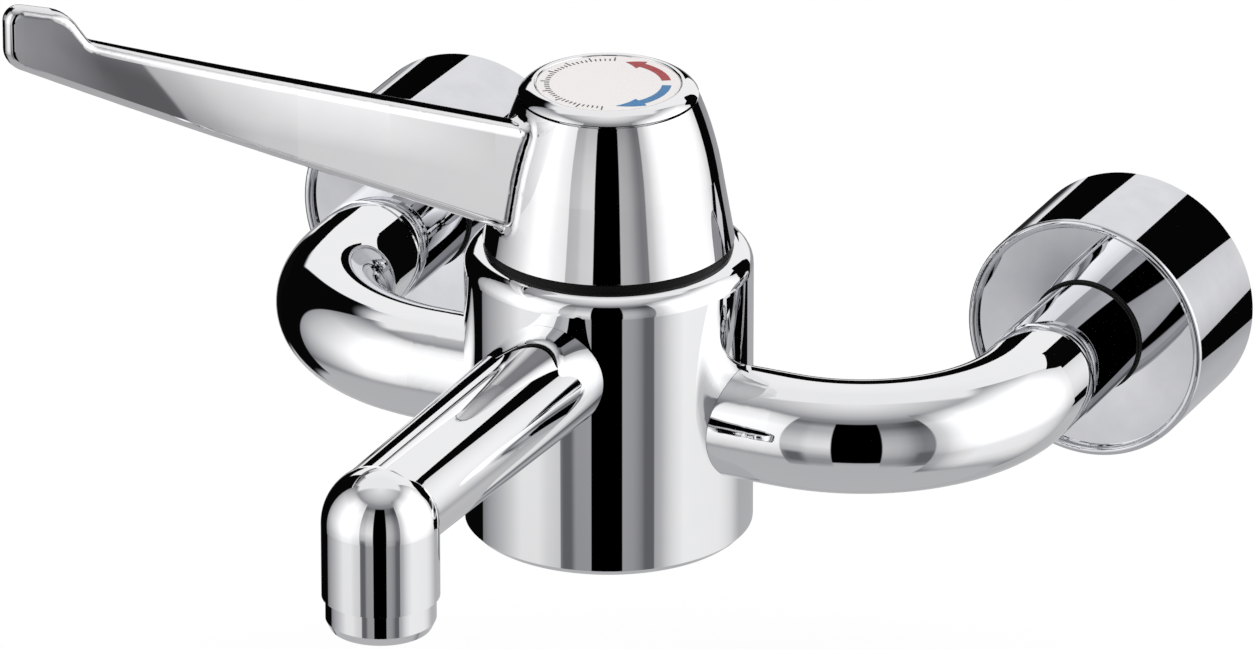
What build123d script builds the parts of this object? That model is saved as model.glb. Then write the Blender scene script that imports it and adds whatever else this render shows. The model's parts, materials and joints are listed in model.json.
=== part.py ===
from build123d import *
import math
import os

# Thermostatic mixer tap, hung on a wall by its two supplies.
# Origin: on the wall, midway between the supplies, at their height.
# X runs to the right as one faces the wall, Y runs into the wall, Z is up. All sizes in millimetres.

# Clearances
fit_gap = 0.05  # between pieces seated in one another
running_gap = 0.08  # round pieces that turn or slide
pass_gap = 0.3  # between pieces that pass one another

# Where the mixer hangs
inlet_centres = 150.0
wall_to_body = 94.1

# Body, heights counted from the supplies' axis
body_radius = 29.0
body_foot = 26.7
body_head = 33.3
head_round = 4.0
foot_chamfer = 1.3
floor_thickness = 6.0
bore_radius = 20.0
socket_depth = 5.0
nut_thread_radius = 22.0
collar_radius = 25.0
collar_wall = 3.4

# Water ways
hot_port_low = -10.0
cold_port_low = 0.5
port_height = 5.5
port_width = 12.0
mixed_port_radius = 5.0
spout_height = 15.4

# Cartridge housing and its rings
housing_wall = 3.4
housing_floor = 3.0
groove_depth = 2.0
groove_width = 2.4
seal_margin = 2.0
seal_squeeze = 0.03

# Cartridge lid, its nut and the stop ring on its neck
flange_thickness = 2.0
nut_height = 3.0
nut_slot_width = 6.0
nut_slots = 4
neck_radius = 12.0
neck_height = 6.9
stop_seat_radius = 10.0
stop_height = 3.0
stop_outer = 17.0
stop_track = 13.5
stop_ribs = 12
rib_radius = 0.6

# Turning drum and spindle
lever_range = 120.0
drum_wall = 1.45
drum_skirt = 5.0
drum_web = 1.6
drum_window_margin = 1.0  # degrees of closed wall before the windows open
mixed_window_span = 70.0
drive_square = 12.0
spindle_flange_radius = 9.0
spindle_flange = 1.35
stud_radius = 4.95
stud_length = 8.0
journal_radius = 6.0
spindle_square = 8.0
spindle_groove_depth = 1.1
spindle_groove_width = 1.6

# Thermostat
thermostat_travel = 1.9
adjuster_radius = 7.0
adjuster_web = 1.0
adjuster_lip = 0.8
adjuster_chamber = 4.2
lip_hole_radius = 2.5
fork_width = 7.0
fork_reach = 11.5
overtravel_length = 3.5
overtravel_wire = 0.35
overtravel_turns = 2.5
plunger_thickness = 1.0
leg_width = 3.0
leg_inner = 9.0
leg_outer = 11.0
guide_base_inner = 7.5
guide_base_outer = 13.5
guide_base_thickness = 1.2
shuttle_wall = 2.4
shuttle_web = 2.0
shuttle_hole_radius = 2.4
shuttle_hole_circle = 8.5
shuttle_hole_angles = (0, 40, 140, 180, 220, 320)
wax_radius = 4.0
wax_length = 8.5
wax_flange_radius = 6.0
wax_flange = 1.0
wax_neck_radius = 3.0
wax_neck = 0.9
piston_radius = 1.5
return_mean_radius = 5.6
return_wire = 0.5
return_turns = 5.0

# Lever: dome, boss and blade, heights counted from the dome's base
dome_gap = 1.8  # from the body's head up to the dome's base
dome_base_radius = 25.2
dome_waist_radius = 22.6
dome_waist_height = 15.0
dome_shoulder_radius = 18.0
dome_height = 30.55
dome_wall = 2.4
dome_web = 3.0
cap_depth = 4.65
boss_wall = 2.6
boss_length = 17.0
adapter_flats = 18.0
adapter_flange = 1.8
stop_tab_width = 12.0  # degrees
stop_tab_gap = 1.0  # degrees left at each end of the track
hub_gap = 0.6  # between the stop ring and the adapter's flange
lever_bearing = 51.5  # degrees from the left towards the room, with the water off
blade_root_place = 21.4  # where the blade leaves the dome, and its two edges there
blade_root_top = 28.7
blade_root_low = 5.2
blade_bend_place = 70.0  # straight up to here, then curved away towards the wall
blade_sweep = 4.0  # how far the curve has carried the heel back
blade_hook_place = 112.4
blade_hook_height = 62.2
paddle_knee_run = 4.5  # from the hook out to the knee, and so on round the paddle
paddle_knee_rise = 6.8
paddle_crest_run = 12.6
paddle_crest_rise = 3.5
paddle_end = 12.7  # down from the crest to the heel
blade_root_thickness = 8.0
blade_bend_thickness = 7.2
blade_tip_thickness = 4.0
root_top_round = 2.3
root_low_round = 2.4
blade_edge_round = 1.7
hook_round = 4.0
knee_round = 8.5
crest_round = 3.0
heel_round = 5.0
root_fillet = 2.6

# Cap on the dome
bezel_line = 0.3  # the fine dark line under the bezel
bezel_height = 2.6
bezel_wall = 1.7
bezel_floor = 1.4
bezel_skirt = 3.4
bezel_edge = 0.25
bezel_bulge = 0.28
bezel_rim = 0.85
bezel_lip = 0.45
index_radius = 14.4
index_thickness = 1.3
screw_radius = 2.5
screw_head_radius = 4.4
screw_head = 3.4
screw_reach = 11.0
screw_socket = 4.0
screw_socket_depth = 2.4

# Spout
spout_reach = 105.2
spout_rise = 1.6
spout_root_radius = 11.3
spout_tip_radius = 10.2
spout_wall = 2.2
spout_spigot_radius = 8.0
spout_spigot_wall = 2.0
mouth_radius = 11.6
mouth_low = 0.2
mouth_wall = 2.4
mouth_thread_radius = 9.8
mouth_thread_depth = 5.9
straightener_radius = 10.86
straightener_end_radius = 10.0
straightener_height = 6.6
straightener_taper = 1.8
straightener_line = 0.15
straightener_wall = 1.2
straightener_lip = 0.7
straightener_neck = 4.4
insert_height = 4.4
insert_hole_radius = 0.75
insert_hole_pitch = 2.1
insert_rings = 3
washer_opening = 7.6

# Supplies, distances counted from the wall
arm_radius = 11.4
arm_wall = 3.4
arm_bend = 35.6
arm_end = 49.0
arm_spigot_radius = 9.6
tail_radius = 9.8
tail_wall = 2.0
tail_insertion = 5.0
tail_flange_radius = 11.9
tail_flange = 3.0
tail_face = 13.0
tail_throat_radius = 6.8
tail_throat = 8.0
sleeve_radius = 11.6
sleeve_back = 23.0
union_flats = 30.0
union_front = 5.0
union_back = 3.0
union_thread_radius = 12.05
union_relief = 0.5
union_corner = 0.9
union_washer_thickness = 2.0
union_washer_opening = 8.2
shroud_radius = 25.6
shroud_depth = 27.5
shroud_wall = 1.9
shroud_recess = 1.5
shroud_face = 1.8
shroud_lip_round = 0.85
shroud_hole_radius = 12.1
shroud_ring_lip = 1.1

# Strainer and non-return valve in each supply
strainer_depth = 8.0
strainer_wall = 0.6
strainer_rim = 1.2
strainer_end_radius = 4.0
strainer_hole_radius = 0.55
strainer_hole_count = 12
strainer_rows = 3
check_front = 45.8
check_back = 24.0
check_wall = 1.1
check_seat = 2.0
check_seat_radius = 4.6
check_travel = 2.5
check_head_radius = 5.6
check_head = 2.4
check_stem_radius = 1.5
check_stem_end = 1.0
check_boss_radius = 2.1
check_guide = 2.0
check_hole_radius = 1.6
check_hole_circle = 4.3
check_hole_count = 6
check_spring_radius = 2.6
check_spring_wire = 0.35
check_spring_turns = 5.0

# Places worked out from the sizes above
bore_floor = floor_thickness - body_foot
housing_outer = bore_radius - fit_gap
housing_bore = housing_outer - housing_wall
housing_low = bore_floor + fit_gap
chamber_floor = housing_low + housing_floor
top_seal = spout_height + mixed_port_radius + seal_margin
housing_top = top_seal + groove_width / 2 + 0.9
lid_top = housing_top + flange_thickness
nut_top = lid_top + nut_height
dome_base = body_head + dome_gap
dome_shoulder = dome_base + dome_height
web_top = dome_shoulder - cap_depth
web_low = web_top - dome_web

drum_outer = housing_bore - running_gap
drum_bore = drum_outer - drum_wall
drum_low = hot_port_low - drum_skirt
flange_top = housing_top - nut_height
flange_low = flange_top - spindle_flange
web_under = flange_low - drum_web

neck_top = lid_top + neck_height
stop_top = neck_top + stop_height
adapter_low = stop_top + hub_gap
adapter_top = web_low - fit_gap
spindle_top = adapter_top - fit_gap

stud_low = web_under - stud_length
adjuster_top = web_under - thermostat_travel - pass_gap
adjuster_web_top = stud_low - thermostat_travel - pass_gap
adjuster_web_low = adjuster_web_top - adjuster_web
plunger_low = adjuster_web_low - overtravel_length - plunger_thickness
adjuster_low = plunger_low - adjuster_lip
shuttle_outer = drum_bore - running_gap
shuttle_low = hot_port_low + port_height / 2
shuttle_high = cold_port_low + port_height / 2
shuttle_web_low = (shuttle_low + shuttle_high - shuttle_web) / 2
shuttle_web_top = shuttle_web_low + shuttle_web

socket_floor = body_radius - socket_depth
arm_bore = arm_radius - arm_wall
tail_bore = tail_radius - tail_wall


# Shapes that many pieces are made of

def rod(radius, low, high):
    cylinder = Cylinder(radius, high - low, align=(Align.CENTER, Align.CENTER, Align.MIN))
    return Pos(0, 0, low) * cylinder


def pipe(outer, inner, low, high):
    return rod(outer, low, high) - rod(inner, low, high)


def block(x_low, x_high, y_low, y_high, z_low, z_high):
    solid = Box(x_high - x_low, y_high - y_low, z_high - z_low, align=(Align.MIN, Align.MIN, Align.MIN))
    return Pos(x_low, y_low, z_low) * solid


def square_bar(side, low, high):
    return block(-side / 2, side / 2, -side / 2, side / 2, low, high)


def hex_bar(flats, low, high):
    outline = RegularPolygon(flats / 2, 6, major_radius=False)
    return Pos(0, 0, low) * extrude(outline, high - low)


def turned(points):
    # A solid turned round Z from an outline of (radius, height) corners
    outline = make_face(Polyline(*points, close=True))
    return revolve(Plane.XZ * outline, Axis.Z)


def rounded_corner(outline, corner, radius):
    return fillet(outline.vertices().sort_by_distance((*corner, 0))[0], radius)


def sector(inner, outer, low, high, start, span):
    # Part of a ring, from an angle and over a span in degrees
    steps = 12
    reach = outer / math.cos(math.radians(span / steps / 2))
    corners = [(0, 0)]
    for step in range(steps + 1):
        angle = math.radians(start + span * step / steps)
        corners.append((reach * math.cos(angle), reach * math.sin(angle)))
    wedge = Pos(0, 0, low) * extrude(make_face(Polyline(*corners, close=True)), high - low)
    return wedge & pipe(outer, inner, low, high)


def ring_seal(bore, shaft, height):
    # A rubber ring that fills the space between two round walls
    section = (bore - shaft) / 2 - seal_squeeze
    return Pos(0, 0, height) * Torus((bore + shaft) / 2, section)


def coil(mean_radius, wire, low, high, turns):
    # A wound spring between two heights, one unbroken wire
    pitch = (high - low - 2 * wire) / turns
    path = Pos(0, 0, low + wire) * Helix(pitch, pitch * turns, mean_radius)
    section = Plane(origin=path @ 0, z_dir=path % 0) * Circle(wire)
    return sweep(section, path=path, is_frenet=True)


def in_body(shape):
    # From the body's own axis to the place where it hangs
    return Pos(0, -wall_to_body, 0) * shape


def in_supply(shape, side):
    # From an axis pointing to the wall, with the wall at 0, to the left (-1) or right (1) supply
    return Pos(side * inlet_centres / 2, 0, 0) * Rot(X=-90) * shape


# Body

def port_block(side, low):
    far = side * (socket_floor + fit_gap)
    near = side * (housing_bore - housing_wall)
    return block(min(far, near), max(far, near), -port_width / 2, port_width / 2, low, low + port_height)


def mixer_body():
    body = rod(body_radius, -body_foot, body_head)
    body = fillet(body.edges().sort_by(Axis.Z)[-1], head_round)
    body = chamfer(body.edges().sort_by(Axis.Z)[0], foot_chamfer)
    body -= rod(bore_radius, bore_floor, body_head)
    body -= rod(nut_thread_radius, lid_top, body_head)
    body -= rod(collar_radius + fit_gap, nut_top, body_head)
    body -= port_block(-1, hot_port_low)
    body -= port_block(1, cold_port_low)
    for turn in (-90, 90):
        body -= Rot(Y=turn) * rod(arm_spigot_radius + fit_gap, socket_floor, body_radius + 1)
    facing = Pos(0, 0, spout_height) * Rot(X=90)
    body -= facing * rod(spout_spigot_radius + fit_gap, socket_floor, body_radius + 1)
    body -= facing * rod(mixed_port_radius, housing_bore, body_radius)
    return in_body(body)


def gap_ring():
    top = dome_base - pass_gap
    return in_body(pipe(collar_radius, collar_radius - collar_wall, nut_top + fit_gap, top))


# Cartridge shell

def seal_heights():
    low = hot_port_low - seal_margin
    between = (hot_port_low + port_height + cold_port_low) / 2
    above = (cold_port_low + port_height + spout_height - mixed_port_radius) / 2
    return (low, between, above, top_seal)


def cartridge_housing():
    housing = rod(housing_outer, housing_low, housing_top)
    housing -= rod(housing_bore, chamber_floor, housing_top)
    for height in seal_heights():
        groove_floor = housing_outer - groove_depth
        groove_low = height - groove_width / 2
        housing -= pipe(housing_outer + 1, groove_floor, groove_low, groove_low + groove_width)
    housing -= port_block(-1, hot_port_low)
    housing -= port_block(1, cold_port_low)
    housing -= Pos(0, 0, spout_height) * Rot(X=90) * rod(mixed_port_radius, 0, bore_radius)
    return in_body(housing)


def cartridge_seals():
    groove_floor = housing_outer - groove_depth
    seals = [in_body(ring_seal(bore_radius, groove_floor, height)) for height in seal_heights()]
    return Compound(children=seals)


def rib_places(radius):
    return PolarLocations(radius, stop_ribs)


def cartridge_bonnet():
    bonnet = rod(housing_bore - fit_gap, flange_top + pass_gap, housing_top)
    bonnet += rod(housing_outer, housing_top, lid_top)
    bonnet += rod(neck_radius, lid_top, neck_top)
    bonnet += rod(stop_seat_radius, neck_top, stop_top)
    for place in rib_places(stop_seat_radius):
        bonnet += place * rod(rib_radius, neck_top, stop_top)
    bonnet -= rod(journal_radius + fit_gap, flange_low, stop_top + 1)
    return in_body(bonnet)


def cartridge_nut():
    nut = pipe(nut_thread_radius - fit_gap, neck_radius + pass_gap, lid_top, nut_top)
    slot_depth = nut_height * 0.6
    for index in range(nut_slots):
        slot = block(neck_radius, neck_radius + 5, -nut_slot_width / 2, nut_slot_width / 2,
                     nut_top - slot_depth, nut_top)
        nut -= Rot(Z=360 * index / nut_slots) * slot
    return in_body(nut)


def stop_ring():
    # The lever's tab runs in the ring's track, whose two ends stop it
    ring = pipe(stop_outer, stop_seat_radius + fit_gap, neck_top, stop_top)
    track_start = 180 + lever_bearing - stop_tab_width / 2 - stop_tab_gap
    track_span = lever_range + stop_tab_width + 2 * stop_tab_gap
    ring -= sector(stop_track, stop_outer + 1, neck_top, stop_top, track_start, track_span)
    for place in rib_places(stop_seat_radius):
        ring -= place * rod(rib_radius + fit_gap, neck_top, stop_top)
    return in_body(ring)


# Turning parts of the cartridge

def flow_drum():
    drum = rod(drum_outer, drum_low, flange_low)
    drum -= rod(drum_bore, drum_low, web_under)
    drum -= square_bar(drive_square + 2 * fit_gap, web_under, flange_low)
    # With the water off, each window stands just short of its port, and it stays open up to full hot
    half_port = math.degrees(math.asin(port_width / 2 / drum_bore))
    for port_angle, low in ((180, hot_port_low), (0, cold_port_low)):
        start = port_angle - half_port - drum_window_margin - lever_range
        drum -= sector(drum_bore - 1, drum_outer + 1, low, low + port_height, start, lever_range)
    mixed_low = spout_height - mixed_port_radius
    mixed_high = web_under - pass_gap
    for quarter in range(4):
        start = 90 * quarter + (90 - mixed_window_span) / 2
        drum -= sector(drum_bore - 1, drum_outer + 1, mixed_low, mixed_high, start, mixed_window_span)
    return in_body(drum)


def spindle_groove():
    # The middle of the groove lies in the lid's flange
    return (lid_top + housing_top) / 2


def spindle():
    shaft = rod(stud_radius, stud_low, web_under)
    shaft += square_bar(drive_square, web_under, flange_low)
    shaft += rod(spindle_flange_radius, flange_low, flange_top)
    shaft += rod(journal_radius, flange_top, stop_top)
    shaft += square_bar(spindle_square, stop_top, spindle_top)
    groove = spindle_groove()
    groove_floor = journal_radius - spindle_groove_depth
    shaft -= pipe(journal_radius + 1, groove_floor, groove - spindle_groove_width / 2,
                  groove + spindle_groove_width / 2)
    shaft -= rod(screw_radius + fit_gap, spindle_top - screw_reach - 1, spindle_top)
    return in_body(shaft)


def spindle_seal():
    groove_floor = journal_radius - spindle_groove_depth
    return in_body(ring_seal(journal_radius + fit_gap, groove_floor, spindle_groove()))


# Thermostat

def nut_guide():
    # Two legs on a ring keep the temperature nut from turning
    guide = pipe(guide_base_outer, guide_base_inner, chamber_floor, chamber_floor + guide_base_thickness)
    for side in (-1, 1):
        near = side * leg_inner
        far = side * leg_outer
        guide += block(-leg_width / 2, leg_width / 2, min(near, far), max(near, far),
                       chamber_floor, adjuster_top - 2)
    return in_body(guide)


def temperature_nut():
    nut = rod(adjuster_radius, adjuster_low, adjuster_top)
    nut += block(-fork_width / 2, fork_width / 2, -fork_reach, fork_reach, adjuster_low, adjuster_top)
    nut -= rod(stud_radius + fit_gap, adjuster_web_top, adjuster_top)
    nut -= rod(adjuster_chamber, plunger_low, adjuster_web_low)
    nut -= rod(lip_hole_radius, adjuster_low, plunger_low)
    slot_half = leg_width / 2 + running_gap
    for side in (-1, 1):
        near = side * (leg_inner - running_gap)
        far = side * (fork_reach + 1)
        nut -= block(-slot_half, slot_half, min(near, far), max(near, far), adjuster_low, adjuster_top)
    return in_body(nut)


def overtravel_plunger():
    return in_body(rod(adjuster_chamber - fit_gap, plunger_low, plunger_low + plunger_thickness))


def overtravel_spring():
    mean_radius = adjuster_chamber - overtravel_wire - pass_gap
    low = plunger_low + plunger_thickness + fit_gap
    return in_body(coil(mean_radius, overtravel_wire, low, adjuster_web_low - fit_gap, overtravel_turns))


def wax_element():
    low = shuttle_web_top
    element = rod(wax_radius, low - wax_length, low)
    element += rod(wax_flange_radius, low, low + wax_flange)
    element += rod(wax_neck_radius, low + wax_flange, low + wax_flange + wax_neck)
    element += rod(piston_radius, low + wax_flange + wax_neck, plunger_low - fit_gap)
    return in_body(element)


def shuttle():
    spool = pipe(shuttle_outer, shuttle_outer - shuttle_wall, shuttle_low, shuttle_high)
    web = rod(shuttle_outer - shuttle_wall / 2, shuttle_web_low, shuttle_web_top)
    web -= rod(wax_radius + fit_gap, shuttle_web_low, shuttle_web_top)
    for angle in shuttle_hole_angles:
        place = Rot(Z=angle) * Pos(shuttle_hole_circle, 0, 0)
        web -= place * rod(shuttle_hole_radius, shuttle_web_low, shuttle_web_top)
    half_slot = leg_width / 2 + pass_gap
    for side in (-1, 1):
        near = side * (leg_inner - pass_gap)
        far = side * (leg_outer + pass_gap)
        web -= block(-half_slot, half_slot, min(near, far), max(near, far), shuttle_web_low, shuttle_web_top)
    return in_body(spool + web)


def return_spring():
    low = chamber_floor + fit_gap
    return in_body(coil(return_mean_radius, return_wire, low, shuttle_web_low - fit_gap, return_turns))


# Lever

def dome_solid(inset):
    # The dome's bell shape, drawn in by a wall's thickness
    base = (dome_base_radius - inset, dome_base)
    waist = (dome_waist_radius - inset, dome_base + dome_waist_height)
    shoulder = (dome_shoulder_radius - inset, dome_shoulder)
    cone_side = Line(base, waist)
    lean = (waist[0] - base[0], waist[1] - base[1])
    shoulder_arc = TangentArc(waist, shoulder, tangent=lean)
    lid = Polyline(shoulder, (0, dome_shoulder), (0, dome_base), base)
    outline = make_face(Curve() + [cone_side, shoulder_arc, lid])
    return revolve(Plane.XZ * outline, Axis.Z)


def line_value(place, start, end):
    # Value at a place of the straight line through two (place, value) points
    slope = (end[1] - start[1]) / (end[0] - start[0])
    return start[1] + slope * (place - start[0])


def blade_corners():
    # The corners of the blade's side view, (distance from the dome's axis, height above its base)
    root_low = (blade_root_place, blade_root_low)
    root_top = (blade_root_place, blade_root_top)
    hook = (blade_hook_place, blade_hook_height)
    knee = (hook[0] + paddle_knee_run, hook[1] + paddle_knee_rise)
    crest = (knee[0] + paddle_crest_run, knee[1] + paddle_crest_rise)
    heel = (crest[0], crest[1] - paddle_end)
    return root_low, root_top, hook, knee, crest, heel


def is_across(edge):
    # True for an edge that runs straight through the blade's thickness
    return edge.geom_type == GeomType.LINE and edge.bounding_box().size.Y > blade_tip_thickness - 0.5


def blade_end():
    # The blade outwards of its bend, pointing along X, with its long edges rounded
    root_low, root_top, hook, knee, crest, heel = blade_corners()
    bend = blade_bend_place
    bend_low = (bend, line_value(bend, root_low, heel))
    bend_top = (bend, line_value(bend, root_top, hook))
    side_view = make_face(Polyline(bend_low, heel, crest, knee, hook, bend_top, close=True))
    for corner, radius in ((hook, hook_round), (knee, knee_round), (crest, crest_round), (heel, heel_round)):
        side_view = rounded_corner(side_view, corner, radius)
    slab = Plane.XZ * extrude(side_view, blade_root_thickness + blade_sweep, both=True)
    half_bend = blade_bend_thickness / 2
    half_tip = blade_tip_thickness / 2
    reach = crest[0] + 1
    run = bend - blade_root_place
    lean = (blade_root_thickness - blade_bend_thickness) / 2
    front = TangentArc((bend, half_bend), (reach, half_tip - blade_sweep), tangent=(run, -lean))
    back = TangentArc((bend, -half_bend), (reach, -half_tip - blade_sweep), tangent=(run, lean))
    plan = make_face(Curve() + [front, back, Line(front @ 1, back @ 1), Line(back @ 0, front @ 0)])
    column = extrude(plan, crest[1] + 1)
    end = slab & column
    outside = [edge for edge in end.edges() if edge.bounding_box().max.X > bend + 0.1]
    along = [edge for edge in outside if not is_across(edge)]
    return fillet(along, blade_edge_round)


def blade():
    # The whole blade: its straight arm is drawn from a section inside the dome to the bend
    root_low, root_top, hook, _, _, heel = blade_corners()
    end = blade_end()
    bend_section = end.faces().sort_by(Axis.X)[0]
    inside = blade_root_place / 2
    low = line_value(inside, root_low, heel)
    top = line_value(inside, root_top, hook)
    thickness = line_value(inside, (blade_root_place, blade_root_thickness),
                           (blade_bend_place, blade_bend_thickness))
    section = Rectangle(thickness, top - low)
    section = fillet(section.vertices().sort_by(Axis.Y)[2:], root_top_round)
    section = fillet(section.vertices().sort_by(Axis.Y)[:2], root_low_round)
    root_section = Plane.YZ * Pos(0, (low + top) / 2, inside) * section
    arm = loft([root_section.face(), bend_section], ruled=True)
    return Pos(0, 0, dome_base) * (arm + end)


def is_root_edge(edge):
    # True for an edge along which the blade grows out of the dome
    centre = edge.center()
    from_axis = math.hypot(centre.X, centre.Y)
    beside_dome = centre.X > dome_shoulder_radius / 2 and from_axis < dome_base_radius + 1
    return beside_dome and dome_base + 1 < centre.Z < dome_shoulder - 1


def lever_handle():
    handle = Rot(Z=180) * dome_solid(0) + blade()
    handle = fillet([edge for edge in handle.edges() if is_root_edge(edge)], root_fillet)
    handle = Rot(Z=180 + lever_bearing) * handle
    handle -= rod(dome_base_radius, dome_base - dome_height, dome_base)
    handle -= dome_solid(dome_wall) & rod(dome_base_radius, dome_base, web_low)
    boss_low = web_low - boss_length
    handle += hex_bar(adapter_flats + 2 * (fit_gap + boss_wall), boss_low, web_low)
    handle -= hex_bar(adapter_flats + 2 * fit_gap, boss_low, web_low)
    handle -= rod(index_radius + bezel_wall / 2, web_top, dome_shoulder + 1)
    handle -= rod(screw_radius + pass_gap, web_low, web_top)
    return in_body(handle)


def handle_adapter():
    adapter = hex_bar(adapter_flats, adapter_low + adapter_flange, adapter_top)
    adapter += rod(stop_outer, adapter_low, adapter_low + adapter_flange)
    tab_inner = stop_track + pass_gap
    adapter += sector(tab_inner, stop_outer, neck_top + pass_gap, adapter_low + adapter_flange,
                      180 + lever_bearing - stop_tab_width / 2, stop_tab_width)
    adapter -= square_bar(spindle_square + 2 * fit_gap, adapter_low, adapter_top)
    return in_body(adapter)


def handle_screw():
    screw = rod(screw_head_radius, web_top, web_top + screw_head)
    screw += rod(screw_radius, spindle_top - screw_reach, web_top)
    screw -= hex_bar(screw_socket, web_top + screw_head - screw_socket_depth, web_top + screw_head)
    return in_body(screw)


def cap_bezel():
    seat_radius = index_radius + bezel_wall / 2 - fit_gap
    inner = seat_radius - bezel_wall
    low = dome_shoulder - bezel_skirt
    floor_low = dome_shoulder + bezel_line - bezel_floor / 2
    floor_top = floor_low + bezel_floor
    line_radius = (seat_radius + dome_shoulder_radius) / 2
    under = dome_shoulder + bezel_line
    top = dome_shoulder + bezel_height
    recess = index_radius + fit_gap
    outer_end = (dome_shoulder_radius, under + bezel_edge)
    rim = (recess + bezel_rim, top)
    crown = SagittaArc(outer_end, rim, -bezel_bulge)
    inside = Polyline(
        rim, (recess, top), (recess, floor_top), (0, floor_top), (0, floor_low), (inner, floor_low),
        (inner, low), (seat_radius, low), (seat_radius, dome_shoulder), (line_radius, dome_shoulder),
        (line_radius, under), (dome_shoulder_radius - bezel_edge, under), outer_end,
    )
    outline = make_face(Curve() + [crown, inside])
    outline = rounded_corner(outline, (recess, top), bezel_lip)
    bezel = revolve(Plane.XZ * outline, Axis.Z)
    return in_body(bezel)


def index_disc():
    low = dome_shoulder + bezel_line + bezel_floor / 2
    return in_body(rod(index_radius, low, low + index_thickness))


# Spout

def spout_tube(inset):
    # The tube's taper, from inside the body's wall out to the mouth's axis
    start = Vector(0, -socket_floor, spout_height)
    end = Vector(0, -spout_reach, spout_height + spout_rise)
    run = end - start
    place = Plane(origin=start, z_dir=run)
    taper = Cone(spout_root_radius - inset, spout_tip_radius - inset, run.length,
                 align=(Align.CENTER, Align.CENTER, Align.MIN))
    return place * taper


def spout():
    tube = spout_tube(0) - rod(body_radius + fit_gap, -body_foot, body_head)
    facing = Pos(0, 0, spout_height) * Rot(X=90)
    tube += facing * rod(spout_spigot_radius, socket_floor + fit_gap, body_radius + 4)
    mouth = rod(mouth_radius, mouth_low, spout_height) + Pos(0, 0, spout_height) * Sphere(mouth_radius)
    tube += Pos(0, -spout_reach, 0) * mouth
    wider = spout_tube(spout_wall) - rod(body_radius + spout_wall, -body_foot, body_head)
    way = wider + facing * rod(spout_spigot_radius - spout_spigot_wall, socket_floor, body_radius + 5)
    outlet_radius = mouth_radius - mouth_wall
    outlet = rod(outlet_radius, mouth_low, spout_height) + Pos(0, 0, spout_height) * Sphere(outlet_radius)
    outlet += rod(mouth_thread_radius, mouth_low, mouth_low + mouth_thread_depth)
    way += Pos(0, -spout_reach, 0) * outlet
    return in_body(tube - way)


def at_mouth(shape):
    return in_body(Pos(0, -spout_reach, mouth_low) * shape)


def straightener_bore():
    return mouth_thread_radius - fit_gap - straightener_wall


def straightener_ring():
    neck = mouth_thread_radius - fit_gap
    bore = straightener_bore()
    body = turned([
        (bore - straightener_lip, -straightener_height), (straightener_end_radius, -straightener_height),
        (straightener_radius, straightener_taper - straightener_height),
        (straightener_radius, -straightener_line), (neck, -straightener_line), (neck, straightener_neck),
        (bore, straightener_neck), (bore, straightener_lip - straightener_height),
        (bore - straightener_lip, straightener_lip - straightener_height),
    ])
    return at_mouth(body)


def straightener_insert():
    low = straightener_lip - straightener_height
    insert = rod(straightener_bore() - fit_gap, low, low + insert_height)
    insert -= rod(insert_hole_radius, low, low + insert_height)
    for ring in range(1, insert_rings + 1):
        for place in PolarLocations(ring * insert_hole_pitch, 6 * ring):
            insert -= place * rod(insert_hole_radius, low, low + insert_height)
    return at_mouth(insert)


def straightener_washer():
    top = mouth_thread_depth - fit_gap
    return at_mouth(pipe(mouth_thread_radius - fit_gap, washer_opening, straightener_neck + fit_gap, top))


# Supplies

def inlet_arm(side):
    corner = Vector(side * inlet_centres / 2, -wall_to_body, 0)
    start = Vector(side * socket_floor, -wall_to_body, 0)
    end = Vector(side * inlet_centres / 2, -arm_end, 0)
    route = FilletPolyline(start, corner, end, radius=arm_bend)
    across = Plane(origin=start, z_dir=(side, 0, 0))
    arm = sweep(across * Circle(arm_radius), path=route)
    arm -= in_body(rod(body_radius + fit_gap, -body_foot, body_head))
    spigot = rod(arm_spigot_radius, socket_floor + fit_gap, body_radius + 3)
    arm += in_body(Rot(Y=90 * side) * spigot)
    arm -= sweep(across * Circle(arm_bore), path=route)
    arm -= in_supply(rod(tail_radius + fit_gap, -arm_end - tail_insertion, -arm_end), side)
    return arm


def inlet_sleeve(side):
    return in_supply(pipe(sleeve_radius, tail_radius + fit_gap, -arm_end, -sleeve_back), side)


def union_tail(side):
    front = -arm_end - tail_insertion + fit_gap
    tail = rod(tail_radius, front, -tail_face)
    tail += rod(tail_flange_radius, -tail_face - tail_flange, -tail_face)
    tail -= rod(tail_bore, front + tail_throat, -tail_face)
    tail -= rod(tail_throat_radius, front, front + tail_throat)
    return in_supply(tail, side)


def union_nut(side):
    shoulder = -tail_face - tail_flange - fit_gap
    front = shoulder - union_front
    nut = hex_bar(union_flats, front, -union_back)
    crown = union_flats / 2 / math.cos(math.radians(30)) + union_corner / 4
    back = -union_back
    nut &= turned([
        (0, front), (crown - union_corner, front), (crown, front + union_corner),
        (crown, back - union_corner), (crown - union_corner, back), (0, back),
    ])
    nut -= rod(tail_radius + pass_gap, front, shoulder)
    thread_start = -tail_face + union_washer_thickness + 2 * fit_gap
    nut -= rod(union_thread_radius + union_relief, shoulder, thread_start)
    nut -= rod(union_thread_radius, thread_start, back)
    return in_supply(nut, side)


def union_washer(side):
    back = -tail_face + union_washer_thickness
    return in_supply(pipe(tail_flange_radius, union_washer_opening, -tail_face, back), side)


def shroud(side):
    front = -shroud_depth
    face = front + shroud_recess
    inner = shroud_radius - shroud_wall
    cover = turned([
        (shroud_hole_radius, face), (inner, face), (inner, front), (shroud_radius, front), (shroud_radius, 0),
        (inner, 0), (inner, face + shroud_face), (shroud_hole_radius, face + shroud_face),
    ])
    lip = cover.edges().filter_by(GeomType.CIRCLE).group_by(Axis.Z)[0]
    return in_supply(fillet(lip, shroud_lip_round), side)


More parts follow.
